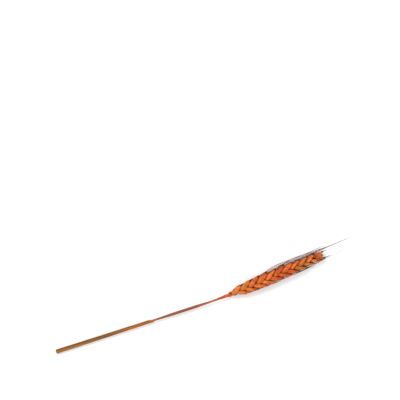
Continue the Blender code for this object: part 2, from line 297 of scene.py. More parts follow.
def write_attribute(mesh, name, values):
    """An attribute of the points. Values are (points, 3) for a vector and (points, 1) for a number."""
    kind, field = ("FLOAT_VECTOR", "vector") if values.shape[1] == 3 else ("FLOAT", "value")
    layer = mesh.attributes.new(name, kind, "POINT")
    layer.data.foreach_set(field, values.astype(np.float32).ravel())


def vectors(*parts):
    """Three arrays, or arrays and numbers, as one array of vectors."""
    return np.stack(np.broadcast_arrays(*parts), -1)


def tube_piece(name, rings, poles, values, end_strips=False):
    """A piece from many tubes: rings is (tubes, rings, sides, 3) and poles is (tubes, 2, 3).

    Each of the values is a pair of arrays, the first for the rings' points and the second for the poles.
    """
    tubes, count, sides = rings.shape[:3]
    each = count * sides + (0 if end_strips else 2)
    quads, triangles = tube_faces(count, sides, end_strips)
    offsets = (np.arange(tubes) * each)[:, None, None]
    parts = [rings.reshape(tubes, -1, 3)] if end_strips else [rings.reshape(tubes, -1, 3), poles]
    points = np.concatenate(parts, 1).reshape(-1, 3)
    mesh = fill_mesh(name, points, (quads + offsets).reshape(-1, 4), (triangles + offsets).reshape(-1, 3))
    for key, (on_rings, on_poles) in values.items():
        width = 3 if key == "grain" else 1
        on_rings = np.reshape(on_rings, np.shape(on_rings) + (1,) * (width == 1))
        layers = [np.broadcast_to(on_rings, (tubes, count, sides, width)).reshape(tubes, -1, width)]
        if not end_strips:
            on_poles = np.reshape(on_poles, np.shape(on_poles) + (1,) * (width == 1))
            layers.append(np.broadcast_to(on_poles, (tubes, 2, width)))
        write_attribute(mesh, key, np.concatenate(layers, 1).reshape(-1, width))
    return linked(name, mesh)


def around(x, across, above):
    """Points round the middle line, and the same points on the straightened piece, for its grain."""
    _, left, up = axis_frame(x)
    points = axis_point(x) + across[..., None] * left + above[..., None] * up
    return points, vectors(x, across, above)


def settle(piece, material, slot, *nodes):
    """Gives the piece its finish, lets it ride on the one body, and hides the solid that it stands for."""
    piece.data.materials.append(material)
    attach(piece, "root")
    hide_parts(*nodes)
    return piece


# %% [markdown]
# ## Sums on sockets
# A finish is mostly arithmetic on masks. `Strand` wraps a socket, and its operators add the Math nodes, so
# that `1 - mask` can be written as such. `DyeBench` holds one material and the colour mixed so far. Its
# method `add` makes any node from its type, its settings and what goes into its sockets, and
# `stain_or_shade` lays one more dye, or a painted shade, over the colour.


# %% Shader sums
def linear(red, green, blue):
    """A screen colour, 0 to 255, as the linear colour with full alpha that a shader takes."""
    share = np.array([red, green, blue]) / 255
    curved = np.where(share <= 0.04045, share / 12.92, ((share + 0.055) / 1.055) ** 2.4)
    return (*curved.tolist(), 1.0)


class Strand:
    """A shader socket that can be used in Python sums."""

    def __init__(self, bench, socket):
        self.bench = bench
        self.socket = socket

    def maths(self, operation, first, second):
        return self.bench.add("Math", {"operation": operation}, {0: first, 1: second})

    def __add__(self, other):
        return self.maths("ADD", self, other)

    def __sub__(self, other):
        return self.maths("SUBTRACT", self, other)

    def __rsub__(self, other):
        return self.maths("SUBTRACT", other, self)

    def __mul__(self, other):
        return self.maths("MULTIPLY", self, other)

    def cosine(self):
        return self.bench.add("Math", {"operation": "COSINE"}, {0: self})

    __radd__ = __add__
    __rmul__ = __mul__


class DyeBench:
    """The node tree of one finish, the colour mixed so far, and one method that adds any node."""

    def __init__(self, name, specular=0.5):
        self.material = bpy.data.materials.new(name)
        self.material.use_nodes = True
        self.tree = self.material.node_tree
        self.shader = self.tree.nodes["Principled BSDF"]
        self.shader.inputs["Specular IOR Level"].default_value = specular
        self.colour = None

    def feed(self, socket, value):
        """Links a strand into the socket, or sets the socket's own value."""
        if isinstance(value, Strand):
            self.tree.links.new(value.socket, socket)
        else:
            socket.default_value = value

    def add(self, kind, settings, inputs, output=0):
        """Adds a node: its type, its settings, then the values or links of its sockets."""
        node = self.tree.nodes.new("ShaderNode" + kind)
        for name, value in settings.items():
            setattr(node, name, value)
        for key, value in inputs.items():
            self.feed(node.inputs[key], value)
        return Strand(self, node.outputs[output])

    def attributes(self, *names):
        """The piece's own attributes: grain as a vector, the others as numbers."""
        outputs = ["Vector" if name == "grain" else "Fac" for name in names]
        return [self.add("Attribute", {"attribute_name": n}, {}, out) for n, out in zip(names, outputs)]

    def noise(self, vector, scale, detail=2.0, roughness=0.5):
        """Noise from 0 to 1 at a vector, with the scale in features to the unit."""
        values = {"Vector": vector, "Scale": scale, "Detail": detail, "Roughness": roughness}
        return self.add("TexNoise", {}, values)

    def pattern(self, vector, features, detail=2.0, roughness=0.5):
        """Noise with its own number of features to the metre in each of the vector's directions."""
        stretched = self.add("VectorMath", {"operation": "MULTIPLY"}, {0: vector, 1: features})
        return self.noise(stretched, 1.0, detail, roughness)

    def between(self, value, low, high):
        """0 below low, 1 above high, and a smooth rise between. With low above high it falls instead."""
        settings = {"interpolation_type": "SMOOTHSTEP"}
        return self.add("MapRange", settings, {"Value": value, "From Min": low, "From Max": high})

    def mix(self, share, first, second):
        return self.add("Mix", {"data_type": "RGBA"}, {0: share, 6: first, 7: second}, 2)

    def stain_or_shade(self, dye, value, low, high, strength=1.0):
        """Lays a dye, or a painted shade, over the colour so far.

        It covers more as the value goes from low to high.
        """
        self.colour = self.mix(self.between(value, low, high) * strength, self.colour, dye)

    def shade_flanks(self, dark, veins, strength):
        """Painted shade: dark broken lines along a stalk's left flank, and fewer along its right one."""
        flank = self.attributes("flank")[0] + 0.9 * (veins - 0.5)
        self.stain_or_shade(dark, flank, 0.50, 0.95, strength)
        self.stain_or_shade(dark, flank, -0.72, -1.10, 0.55)

    def finish(self, roughness, height, depth, strength=1.0):
        """Feeds the shader, with the height as a bump of the given depth in metres."""
        self.feed(self.shader.inputs["Base Color"], self.colour)
        self.feed(self.shader.inputs["Roughness"], roughness)
        values = {"Height": height, "Distance": depth, "Strength": strength}
        self.feed(self.shader.inputs["Normal"], self.add("Bump", {}, values))
        return self.material


# %% [markdown]
# ## The finish of the scales
# Dye soaks into dry husk unevenly. The keel and the belly of each scale are painted a lighter orange as a
# painted highlight. The margins are darker, partly from the dye and partly as painted shade where the scales
# meet, the folds deep in the ear are painted dark red-brown as shade, and the pointed tips are dyed dark
# red-brown. Single scales lean to red or to straw yellow, and some near the tip hardly took the dye. Nerves
# and finer fibres run along each scale, in colour and as relief. They are drawn over the angle round the
# scale, so that they meet at its tip, as real ones do. Each pattern is a noise whose features to the metre
# differ along, round and through the piece.

# %% Dyed husk
PEACH = linear(244, 142, 62)
ORANGE = linear(220, 98, 22)
RED_ORANGE = linear(194, 64, 14)
RUST_DYE_AND_SHADE = linear(82, 24, 4)
DARK_TIP = linear(44, 17, 7)
STRAW_YELLOW = linear(212, 138, 62)
OLIVE = linear(148, 98, 28)
MAUVE = linear(132, 58, 34)
NERVE_PITCH = 0.70 * MM
FIBRES = (260, 5200, 5200)
STRIPES = (110, 1500, 1500)
BLOTCHES = (240, 560, 560)
MOTTLES = (430, 820, 820)


def husk_dye_and_painted_light(name, deep, deepest):
    """Dyed husk with painted light: nerves along the scale, a painted highlight on the keel, margins
    darkened partly by dye and partly as painted shade, dark dyed tips, painted shade in the folds, and a
    tint of each scale's own.

    Where the depth attribute falls from deep to deepest, painted shade turns the colour to rust.
    """
    bench = DyeBench(name, specular=0.22)
    names = ("grain", "reach", "margin", "tint", "bare", "bruise", "depth")
    grain, reach, margin, tint, bare, bruise, depth = bench.attributes(*names)
    fibres = bench.pattern(grain, FIBRES, 3.0, 0.6)
    stripes = bench.pattern(grain, STRIPES, 1.0)
    blotches = bench.pattern(grain, BLOTCHES, 3.0)
    mottles = bench.pattern(grain, MOTTLES)
    round_the_scale = bench.add("SeparateXYZ", {}, {0: grain}, 1)
    nerves = (round_the_scale * (2 * math.pi / NERVE_PITCH) + fibres).cosine() * 0.5 + 0.5
    # Painted highlight: the keel and belly of each scale are mixed towards peach, together with fibres and
    # nerves.
    keel = bench.between(margin + 0.3 * (fibres - 0.5), 0.50, 0.95)
    keel_highlight_and_fibres = keel * 0.5 + 0.35 * bench.between(fibres + 0.3 * tint, 0.45, 0.9) + 0.2 * nerves
    bench.colour = bench.mix(keel_highlight_and_fibres, ORANGE, PEACH)
    bench.stain_or_shade(RED_ORANGE, stripes + 0.12 * tint, 0.48, 0.70, 0.65)
    bench.stain_or_shade(RED_ORANGE, blotches + 0.5 * tint, 0.62, 0.95, 0.85)
    bench.stain_or_shade(MAUVE, blotches, 0.35, 0.60, bruise)
    olive_share = bench.between(blotches + 0.2 * (nerves - 0.5), 0.40, 0.62)
    bench.colour = bench.mix(bare, bench.colour, bench.mix(olive_share, STRAW_YELLOW, OLIVE))
    bench.stain_or_shade(PEACH, mottles, 0.44, 0.30, 0.5)
    bench.stain_or_shade(RUST_DYE_AND_SHADE, mottles, 0.56, 0.68, 0.5)
    bench.stain_or_shade(RUST_DYE_AND_SHADE, nerves + 0.5 * (stripes - 0.5), 0.30, 0.0, 0.42)
    # Margins darkened to rust: partly dye, partly painted shade where the scales meet their neighbours.
    bench.stain_or_shade(RUST_DYE_AND_SHADE, margin + 0.35 * (fibres - 0.5), 0.50, 0.10, 0.90)
    # Painted shade: the deeper a point lies in the ear, the darker rust it is painted.
    bench.stain_or_shade(RUST_DYE_AND_SHADE, depth + 0.2 * (blotches - 0.5), deep, deepest, 0.92)
    bench.stain_or_shade(DARK_TIP, reach + 0.08 * (fibres - 0.5), 0.84, 0.96, 0.95)
    return bench.finish(0.48 + 0.25 * fibres, fibres * 0.5 + nerves * 0.5, 0.26 * MM, 0.9)


husk = husk_dye_and_painted_light("dyed_husk_painted_light", 0.76, 0.42)
print("finish", husk.name)

# %% [markdown]
# ## Glumes and lemmas as thin shells
# A glume is a dry boat: it is keeled, ribbed lengthwise, rolled round the floret and open on its inner side.
# A solid almond would do from far off, but it would show no margin and no shadow behind it. So the section
# here is a thin wall: it runs from one margin over the keel to the other, and back on the inner side.


# %% Shells of the scales
HALF_THICKNESS = 5.2 * MM


def stacked(chosen, name):
    """One field of many scales as an array."""
    return np.array([getattr(scale, name) for scale in chosen])


def own_measures(chosen):
    """Length, half width, outer height, inner height and bow of each scale, from its kind and its size."""
    kinds = [scale.kind for scale in chosen]
    rows = [(k.length, k.width / 2, k.outer, k.inner, k.bow) for k in kinds]
    return (np.array(rows) * stacked(chosen, "size")[:, None]).T


def bump(value, place, width):
    """A bell that is 1 at the place and fades out over the width."""
    return np.exp(-(((value - place) / width) ** 2))


def ribs(angle, places, width):
    """A row of rounded ribs across a section: one bump of the given width at each place."""
    return sum(bump(angle, place, width) for place in places)


def off_the_floor(points):
    """The points, none lower than just above the floor, so that bellies that lie on it are flat."""
    low = np.array(points)
    low[..., 2] = np.maximum(low[..., 2], 0.02 * MM)
    return low


def depth_in_ear(points, chosen):
    """How far each point lies from the ear's middle line, as a share of the ear's half thickness there.

    The last spikelet and the bracts of the collar, with shares outside the range, are open to the light, so
    all of them count as outside.
    """
    steps = np.linspace(STALK_LENGTH, STALK_LENGTH + 120 * MM, 200)
    line = axis_point(steps)
    middle = np.stack([np.interp(points[..., 0], line[:, 0], line[:, axis]) for axis in (1, 2)], -1)
    distance = np.linalg.norm(points[..., 1:] - middle, axis=-1)
    share = stacked(chosen, "share")[:, None, None]
    is_open = (share < 0) | (share > LAST_SHARE)
    return np.where(is_open, 1.0, distance / (HALF_THICKNESS * spikelet_size(share)))


def place_values(chosen, points, along, across, above, reach, margin):
    """The attributes of tubes whose rings lie at reach, with a value for the pole at each end."""
    draws = np.random.default_rng(SEED + 1)
    share, rank = stacked(chosen, "share"), stacked(chosen, "rank")
    reddish = bump(share, 0.55, 0.25) + 0.4 * bump(share, 1.0, 0.08) + (share < 0)
    tint = 0.35 * draws.uniform(0, 1, len(chosen)) + 0.55 * reddish
    # How deep each point lies in the ear; the husk paints shade into the folds from it.
    depth = depth_in_ear(points, chosen)
    golden = 0.42 * bump(share, 0.04, 0.14) * (share >= 0)
    patch = np.where(rank < 0, 0.90 * bump(share, 0.79, 0.09), 0.55 * bump(share, 0.84, 0.06))
    bare = np.clip(golden + patch + 0.12 * draws.uniform(-1, 1, len(chosen)), 0, 0.95)
    bruise = 0.75 * draws.uniform(0, 1, len(chosen)) ** 3
    grain = vectors(along, across, above)
    grain = grain + (draws.uniform(0, 1, (len(chosen), 3)) * 0.3)[:, None, None, :]
    scorched = (1 + 0.16 * smooth_step((share - 0.80) / 0.20))[:, None, None]
    values = {
        "grain": (grain, grain[:, [0, -1]].mean(2)),
        "reach": (reach[None, :, None] * scorched, [[0.0, 1.0]]),
        "margin": (margin, 0.5),
        "depth": (depth, depth[:, [0, -1]].mean(2)),
    }
    for name, drawn in (("tint", tint), ("bare", bare), ("bruise", bruise)):
        values[name] = (drawn[:, None, None], drawn[:, None])
    return values


def on_scales(chosen, root, along, across, out):
    """Points in the directions of their scales: so far along from the root, across, and outward."""
    direction, outward = (stacked(chosen, name)[:, None, None, :] for name in ("along", "outward"))
    points = root[:, None, None, :] + along[..., None] * direction
    return points + across[..., None] * np.cross(direction, outward) + out[..., None] * outward


def scale_swell(reach):
    """How full a scale is at its reach u, 0 at root and tip: sin(pi u^0.78)^0.8."""
    return np.sin(math.pi * reach**0.78) ** 0.8


def shell_piece(name, chosen, wrap, wall, relief, crinkle):
    """Thin boats. u runs from root to tip, and the angle a from margin over keel to margin and back inside.

    The section swells as scale_swell(u) and is drawn in towards the tip. A point lies sin(a) half widths
    across and cos(a) heights out, plus ribs, wrinkles and a lifted margin. The inner side of the boat is the
    same curve, one wall further in.
    """
    length, half, outer, _, bow = (m[:, None, None] for m in own_measures(chosen))
    rings, outside, inside = 26, 65, 11
    draws = np.random.default_rng(SEED + len(chosen))
    phase = draws.uniform(0, 2 * math.pi, (4, len(chosen), 1, 1))
    u = 0.5 - 0.5 * np.cos(np.linspace(0.12, math.pi - 0.10, rings))
    turn = np.concatenate([np.linspace(-1, 1, outside), np.linspace(1, -1, inside)])
    outer_side = np.concatenate([np.ones(outside), np.zeros(inside)])
    reach = u[None, :, None]
    angle = turn * wrap * (1 - 0.22 * reach**2 + 0.03 * np.sin(17 * reach + phase[0]))
    full = scale_swell(reach) * (1 - 0.28 * smooth_step((reach - 0.70) / 0.30))
    swell = np.sin(math.pi * reach) ** 0.6
    waves = np.sin(6 * reach + phase[1]) * np.cos(2.2 * angle + phase[2])
    waves = waves + 0.35 * np.sin(15 * reach + phase[3])
    lifted = 0.10 * MM * np.abs(turn) ** 8
    raised = (relief(angle) * swell + crinkle * swell * waves + lifted * swell) * outer_side
    thick = np.minimum(wall, 0.6 * half * full) * (1 - outer_side)
    across = np.sin(angle) * (half * full - thick + lifted * swell * outer_side)
    out = np.cos(angle) * (outer * full - thick) + np.cos(0.7 * angle) * raised
    out = out + bow * 4 * reach * (1 - reach)
    root = stacked(chosen, "root")
    points = on_scales(chosen, root, length * reach, across, out)
    poles = np.stack([root, root + length[:, 0] * stacked(chosen, "along")], 1)
    margin = np.broadcast_to(1 - np.abs(turn), points.shape[:3])
    values = place_values(chosen, points, length * reach, half * angle, thick * 0, u, margin)
    return tube_piece(name, off_the_floor(points), off_the_floor(poles), values)


def glume_relief(angle):
    """A sharp keel, set off the middle, and finer ribs on both flanks."""
    flanks = ribs(angle, [-1.4, -1.0, -0.6, -0.25, 0.6, 1.0, 1.4], 0.09)
    return (0.30 * ribs(angle, [0.16], 0.14) + 0.09 * flanks) * MM


def lemma_relief(angle):
    """A low keel and ribs on both sides of it, which run together towards the awn."""
    flanks = ribs(angle, [-1.2, -0.8, -0.4, 0.4, 0.8, 1.2], 0.10)
    return (0.16 * ribs(angle, [0.0], 0.14) + 0.08 * flanks) * MM


lemma_scales = [scale for scale in scales if scale.kind is LEMMA]
middle_scales = [scale for scale in scales if scale.kind is MIDDLE]
GLUME_SHAPE = (math.radians(116), 0.17 * MM, glume_relief, 0.040 * MM)
LEMMA_SHAPE = (math.radians(128), 0.15 * MM, lemma_relief, 0.035 * MM)
glumes = shell_piece("glumes", glume_scales, *GLUME_SHAPE)
lemmas = shell_piece("lemmas", lemma_scales, *LEMMA_SHAPE)
middle = shell_piece("middle_lemmas", middle_scales, *LEMMA_SHAPE)
for shell in (glumes, lemmas, middle):
    settle(shell, husk, "dyed_scales", "ear")

# %% [markdown]
# ## What lies inside the shells
# Each lemma holds a palea and a grain. They show only as a rounder surface inside the open boats, but
# without them one would look straight through the ear. A closed almond with a lengthwise groove on its
# inner side stands in each floret, and a slimmer one behind each glume.


# %% Grains in their paleas
GRAIN_START = 0.6 * MM
GRAIN_SHARE = 0.86
GROOVE_DEPTH = 0.22 * MM
GROOVE_WIDTH = 0.35


def grain_piece(name, chosen, fill):
    """Closed almonds: across sin(a), out cos(a) with its own height on each side, and a groove within."""
    length, half, outer, inner, bow = (m[:, None, None] for m in own_measures(chosen))
    rings, sides = 15, 18
    u = 0.5 - 0.5 * np.cos(np.linspace(0.2, math.pi - 0.2, rings))
    angle = np.linspace(0, 2 * math.pi, sides, endpoint=False)[None, None, :]
    reach = u[None, :, None]
    full = np.sin(math.pi * reach**0.85)
    height = np.where(np.cos(angle) > 0, outer * (fill - 0.04), inner)
    groove = GROOVE_DEPTH * bump(angle, math.pi, GROOVE_WIDTH)
    across = np.sin(angle) * half * full * fill
    out = np.cos(angle) * (height * full) + groove * full + bow * 4 * reach * (1 - reach) * 0.9
    direction = stacked(chosen, "along")
    root = stacked(chosen, "root") + direction * GRAIN_START
    long = length * GRAIN_SHARE
    points = on_scales(chosen, root, long * reach, across, out)
    poles = np.stack([root, root + long[:, 0] * direction], 1)
    margin = np.full(points.shape[:3], 0.35)
    values = place_values(chosen, points, long * reach, half * angle, full * 0, u, margin)
    return tube_piece(name, off_the_floor(points), off_the_floor(poles), values)


# Painted shade: the paleas and glume backs darken from a higher depth, as if shaded by the shells.
inner_husk = husk_dye_and_painted_light("inner_husk", 1.05, 0.40)
paleas = grain_piece("paleas", floret_scales, 0.86)
settle(paleas, inner_husk, "dyed_scales", "ear")
glume_backs = grain_piece("glume_backs", glume_scales, 0.80)
settle(glume_backs, inner_husk, "dyed_scales", "ear")

# %% [markdown]
# ## The rachis
# The ear's own stem steps from side to side, away from each spikelet that it carries. Between the scales
# only its edges show. One tube follows the nodes with a smooth zig-zag, flat from left to right, and its
# foot is a collar that takes the end of the straw.

# %% A zig-zag stem with a collar
COLLAR_START = STALK_LENGTH - 2.2 * MM
COLLAR_RADIUS = 1.60 * MM
CORE_WIDTH = 1.35 * MM
CORE_DEPTH = 2.5 * MM
SWING = 0.42 * MM
KNOB = 0.12 * MM
LIP = 0.10 * MM
LIP_LENGTH = 0.5 * MM
RACHIS_VALUES = {"reach": 0.3, "margin": 0.55, "tint": 0.7, "bare": 0.0, "bruise": 0.0}


def rachis_piece():
    """An oval tube. Its middle swings by a cosine of the node number, and each node is a little thicker."""
    last = node_place(SPIKELETS - 1) + 3.0 * MM
    x = np.linspace(COLLAR_START, last, 170)
    node_number = (x - STALK_LENGTH - FIRST_NODE) / NODE_PITCH
    share = np.clip(node_number / (SPIKELETS - 1), 0, 1)
    on_ear = smooth_step((x - STALK_LENGTH) / (4 * MM))
    size = spikelet_size(share) * (1 - 0.6 * smooth_step((share - 0.9) / 0.1))
    swing = -SWING * np.cos(math.pi * node_number) * on_ear * size
    knob = KNOB * np.cos(2 * math.pi * node_number) * on_ear
    full = CORE_WIDTH * (1 + 0.5 * smooth_step((share - 0.6) / 0.3))
    wide = COLLAR_RADIUS * (1 - on_ear) + full * size * on_ear + knob
    deep = COLLAR_RADIUS * (1 - on_ear) + CORE_DEPTH * size * on_ear + knob
    lip = LIP * bump(x, COLLAR_START, LIP_LENGTH)
    sides = 20
    angle = np.linspace(0, 2 * math.pi, sides, endpoint=False)
    ridges = 1 + 0.035 * np.cos(7 * angle)
    across = swing[:, None] + (wide - lip)[:, None] * np.cos(angle) * ridges
    above = (deep - lip)[:, None] * np.sin(angle) * ridges
    points, grain = around(x[:, None], across, above)
    # Painted shade: on the ear the rachis lies deep between the scales and is painted dark rust.
    depth = 0.75 - 0.35 * on_ear
    values = {
        "grain": (grain[None], grain[[0, -1]].mean(1)[None]),
        "depth": (depth[None, :, None], depth[None, [0, -1]]),
    }
    for name, value in RACHIS_VALUES.items():
        values[name] = (np.full((1, 1, 1), value), value)
    return tube_piece("rachis", off_the_floor(points)[None], axis_point(x[[0, -1]])[None], values)


rachis = rachis_piece()
settle(rachis, husk, "dyed_scales", "ear")

# %% [markdown]
# ## Bracts on the collar
# The lowest nodes of a rachis carry only dwarf scales. They stand round the collar in a close spiral, each
# one turned from the last by the golden angle, and they hide the joint between straw and ear.

# %% Dwarf scales
BRACTS = 7
BRACT_STEP = 0.8 * MM
FIRST_BRACT = 0.4 * MM
BRACT_SUNK = 0.45 * MM
BRACT_LEAN = math.radians(6)
BRACT_SIZE = 0.34
BRACT_GROWTH = 0.03
BRACT_SHARE = -0.02
FIRST_TURN = math.radians(60)
GOLDEN_ANGLE = math.radians(137.5)


def collar_bracts():
    """Small glumes round the collar, a little larger from one to the next."""
    bracts = []
    for number in range(BRACTS):
        x = COLLAR_START + FIRST_BRACT + BRACT_STEP * number
        ear_along, left, up = axis_frame(x)
        turn = GOLDEN_ANGLE * number + FIRST_TURN
        outwards = left * math.cos(turn) + up * math.sin(turn)
        along = unit(ear_along * math.cos(BRACT_LEAN) + outwards * math.sin(BRACT_LEAN))
        outward = unit(outwards - np.dot(outwards, along) * along)
        root = axis_point(x) + outwards * (COLLAR_RADIUS - BRACT_SUNK)
        size = BRACT_SIZE + BRACT_GROWTH * number
        no_awn = (np.zeros(2), np.zeros(3))
        bracts.append(Scale(GLUME, root, along, outward, size, BRACT_SHARE, 1, ear_along, no_awn))
    return bracts


bracts = shell_piece("bracts", collar_bracts(), math.radians(100), 0.15 * MM, glume_relief, 0.02 * MM)
settle(bracts, husk, "dyed_scales", "ear")

# %% [markdown]
# ## Awns
# Each side lemma ends in an awn, a stiff bristle up to 66 mm long with barbs that point forward. Many have
# snapped, mostly on the right. A curve object with a bevel would draw a bristle, but a tube from one array
# keeps all of them in a single mesh and lets the radius shrink and the broken ends stay blunt.

# %% Bristles and their paths
AWN_ROOT_RADIUS = 0.34 * MM
AWN_TIP_RADIUS = 0.11 * MM
AWN_SWELLING = 0.16 * MM
AWN_SWELLING_LENGTH = 2.2 * MM
AWN_TAPER = 0.55
AWN_SHORT_AT_FOOT = 0.72
AWN_SUNK = 0.16
FRAY = 0.35 * MM
STUB_TIP_RADIUS = AWN_ROOT_RADIUS * 0.55
AWN_LONGEST = 66 * MM
AWN_SHORTEST = 22 * MM
STUB_LONGEST = 4.6 * MM
STUB_SHORTEST = 1.6 * MM
WHOLE_OWN_WAY = 0.05
STUB_OWN_WAY = 0.40
WHOLE_LEFT = 0.78
WHOLE_RIGHT = 0.30
BROKEN_FROM_LEFT = 0.86
BROKEN_FROM_RIGHT = 0.50
BROKEN_SPAN = 0.14
AWN_FLOOR = 0.7 * MM
AWN_FLOOR_BLEND = 1.2 * MM


def awn_length(scale):
    """Few awns have their full length. Most on the right, and all near the tip, are broken to stubs."""
    whole_draw, length_draw = scale.chances
    whole_share = WHOLE_LEFT if scale.rank > 0 else WHOLE_RIGHT
    broken_from = BROKEN_FROM_LEFT if scale.rank > 0 else BROKEN_FROM_RIGHT
    if whole_draw < whole_share * (1 - smooth_step((scale.share - broken_from) / BROKEN_SPAN)):
        reach = AWN_SHORTEST + (AWN_LONGEST - AWN_SHORTEST) * length_draw**2
        return reach * (AWN_SHORT_AT_FOOT + (1 - AWN_SHORT_AT_FOOT) * smooth_step(scale.share / 0.35))
    return STUB_SHORTEST + (STUB_LONGEST - STUB_SHORTEST) * length_draw


def awn_paths(chosen, lengths, steps):
    """Bristles that leave along their scales. Whole ones soon swing to the ear's direction."""
    share = np.linspace(0, 1, steps)[None, :, None]
    own_length = np.array([scale.kind.length * scale.size for scale in chosen])[:, None]
    along, ear_along = stacked(chosen, "along"), stacked(chosen, "ear_along")
    curl = stacked(chosen, "curl") * np.where(lengths > STUB_LONGEST, 1, 2)[:, None]
    root = stacked(chosen, "root") + along * own_length * (1 - AWN_SUNK)
    reach = (lengths[:, None] + own_length * AWN_SUNK)[:, None, :]
    own = np.where(lengths > 2 * STUB_LONGEST, WHOLE_OWN_WAY, STUB_OWN_WAY)[:, None]
    heading = unit(along * own + ear_along * (1 - own) + curl)
    path = root[:, None] + heading[:, None] * reach * share
    path = path + (along - heading)[:, None] * reach * share * (1 - share) ** 4
    above = path[..., 2] - AWN_FLOOR
    path[..., 2] = AWN_FLOOR + (above + np.sqrt(above**2 + AWN_FLOOR_BLEND**2)) / 2
    return path


def path_frames(paths):
    """The direction of each path at each point, with a side and an up direction square to it."""
    along = unit(np.gradient(paths, axis=1))
    side = unit(np.cross(along, [0.0, 0.0, 1.0]))
    return along, side, np.cross(side, along)


def awn_radius(share, tip_radius):
    """A bristle's radius: it falls fast at first and then slowly, as the share to the power of AWN_TAPER."""
    return AWN_ROOT_RADIUS + (tip_radius - AWN_ROOT_RADIUS) * share**AWN_TAPER


def awn_piece(name, paths, tip_radius, fray):
    """Round bristles along the paths, with a slight swelling at the root and an end that frays by a draw."""
    count, steps = paths.shape[:2]
    sides = 7
    along, side, up = path_frames(paths)
    share = np.linspace(0, 1, steps)[None, :, None]
    steps_long = np.linalg.norm(np.diff(paths, axis=1), axis=2).cumsum(1)
    run = np.concatenate([np.zeros((count, 1)), steps_long], 1)
    radius = awn_radius(share, tip_radius) + AWN_SWELLING * bump(run[..., None], 0, AWN_SWELLING_LENGTH)
    angle = np.linspace(0, 2 * math.pi, sides, endpoint=False)[None, None, :]
    ring = (np.cos(angle) * radius)[..., None] * side[:, :, None]
    ring = ring + (np.sin(angle) * radius)[..., None] * up[:, :, None]
    points = paths[:, :, None] + ring
    draws = np.random.default_rng(SEED + 5)
    points[:, -1] += draws.uniform(-fray, fray, (count, sides, 1)) * along[:, -1:]
    grain = vectors(run[..., None], ring[..., 1], ring[..., 2])
    grain = grain + np.arange(count)[:, None, None, None] * 0.11
    reach = run / AWN_LONGEST
    values = {
        "grain": (grain, grain[:, [0, -1]].mean(2)),
        "reach": (reach[..., None], reach[:, [0, -1]]),
    }
    return tube_piece(name, points, paths[:, [0, -1]], values)


awned = [scale for scale in scales if scale.kind.awned]
lengths = np.array([awn_length(scale) for scale in awned])
whole = lengths > STUB_LONGEST
whole_scales = [scale for scale, is_whole in zip(awned, whole) if is_whole]
stub_scales = [scale for scale, is_whole in zip(awned, whole) if not is_whole]
whole_paths = awn_paths(whole_scales, lengths[whole], 64)
stub_paths = awn_paths(stub_scales, lengths[~whole], 10)
print(len(whole_scales), "whole awns and", len(stub_scales), "broken ones")

# %% [markdown]
# ## The finish of the bristles
# Bristles take the dye darkly where they leave the scale, and fade to a brownish tan along their length.

# %% Dyed bristle
BRISTLE_ROOT = linear(58, 24, 10)
BRISTLE_MIDDLE = linear(92, 46, 24)
BRISTLE_TIP = linear(118, 74, 46)


def bristle_finish():
    """Dark at the root and tan at the tip, with patches where the dye ran thin."""
    bench = DyeBench("dyed_bristle", specular=0.25)
    grain, reach = bench.attributes("grain", "reach")
    patches = bench.pattern(grain, (160, 300, 300))
    streaks = bench.pattern(grain, (700, 9000, 9000))
    bench.colour = BRISTLE_ROOT
    bench.stain_or_shade(BRISTLE_MIDDLE, reach + 0.2 * (patches - 0.5), 0.12, 0.45)
    bench.stain_or_shade(BRISTLE_TIP, reach + 0.5 * (patches - 0.5), 0.45, 1.0)
    bench.stain_or_shade(BRISTLE_ROOT, streaks, 0.5, 0.8, 0.4)
    return bench.finish(0.50 + 0.2 * streaks, streaks, 0.04 * MM, 0.6)


def hair_finish():
    """The pale, stiff hairs of the keels, a little lighter than the husk that they grow from."""
    bench = DyeBench("pale_hairs")
    patches = bench.noise(bench.attributes("grain")[0], 900.0)
    bench.colour = bench.mix(patches, ORANGE, PEACH)
    return bench.finish(0.6, patches, 0.02 * MM, 0.3)


bristle = bristle_finish()
hairs = hair_finish()
awns = awn_piece("awns", whole_paths, AWN_TIP_RADIUS, 0.0)
settle(awns, bristle, "dyed_scales", "ear")
broken_awns = awn_piece("broken_awns", stub_paths, STUB_TIP_RADIUS, FRAY)
settle(broken_awns, bristle, "dyed_scales", "ear")

# %% [markdown]
# ## Barbs and cilia
# Under a lens, an awn is a saw of tiny forward barbs, and the keel of a rye lemma carries a comb of short
# stiff hairs. There are thousands, so each is only a thin pyramid of three sides and a base.


# %% Tiny pyramids
BARBS_EACH = 70
BARB_WIDTH = 0.10 * MM
HAIRS_EACH = 22
HAIR_WIDTH = 0.055 * MM


def pyramids(name, feet, directions, supports, width):
    """Closed pyramids: three corners round each foot, and a tip at the end of each direction."""
    side = unit(np.cross(directions, supports))
    spread = [(-0.5, -0.3), (0.5, -0.3), (0.0, 0.6)]
    forward = unit(directions)
    other = np.cross(side, forward)
    corners = [feet + width * (a * side + b * other) for a, b in spread]
    points = np.stack([*corners, feet + directions], 1).reshape(-1, 3)
    base = np.array([[0, 2, 1], [0, 1, 3], [1, 2, 3], [2, 0, 3]])
    triangles = (np.arange(len(feet))[:, None, None] * 4 + base).reshape(-1, 3)
    mesh = fill_mesh(name, off_the_floor(points), np.zeros((0, 4), int), triangles)
    write_attribute(mesh, "grain", points)
    write_attribute(mesh, "reach", np.tile([0.3, 0.3, 0.3, 0.6], len(feet))[:, None])
    return linked(name, mesh)


